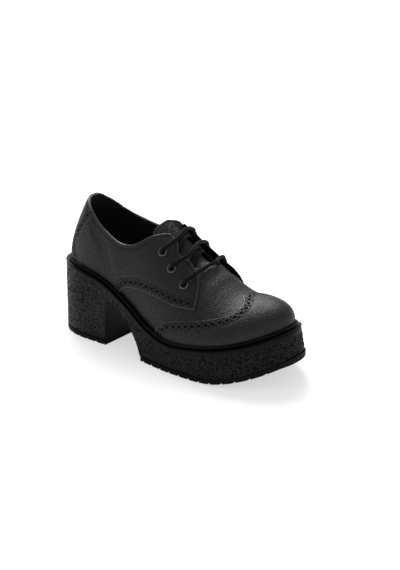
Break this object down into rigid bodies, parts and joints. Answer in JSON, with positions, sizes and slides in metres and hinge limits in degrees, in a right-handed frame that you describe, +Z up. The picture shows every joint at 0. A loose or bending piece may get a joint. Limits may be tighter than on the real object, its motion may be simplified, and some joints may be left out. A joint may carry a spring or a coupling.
{
  "type": "block heel shoe",
  "caption": "Right women's lace-up derby shoe with wing toe cap and heel counter, on a textured platform sole with a high block heel.",
  "frame": {"origin": "on the floor, under the middle of the shoe's bounding box", "axes": "+X to the toe, +Y to the inner side of the foot, +Z up"},
  "size_m": [0.2598, 0.102, 0.1337],
  "materials": {
    "sole_rubber": "matte, coarse crepe grain",
    "tread_rubber": "matte",
    "lining": "matte",
    "leather": "satin, fine pebbled grain",
    "eyelet_metal": "satin black",
    "lace_cord": "waxed round cord"
  },
  "bodies": {
    "root": {"sole_unit": "sole_rubber", "heel_tread": "tread_rubber", "forefoot_tread": "tread_rubber", "welt": "sole_rubber", "insole": "lining", "upper": "leather", "tongue": "leather", "toe_cap": "leather", "quarter_outer": "leather", "quarter_inner": "leather", "heel_counter": "leather", "eyelet_outer_1": "eyelet_metal", "eyelet_outer_2": "eyelet_metal", "eyelet_outer_3": "eyelet_metal", "eyelet_inner_1": "eyelet_metal", "eyelet_inner_2": "eyelet_metal", "eyelet_inner_3": "eyelet_metal", "lace_bar_1": "lace_cord", "lace_bar_2": "lace_cord", "lace_bar_3": "lace_cord", "lace_crossing_1": "lace_cord", "lace_crossing_2": "lace_cord"}
  },
  "joints": []
}
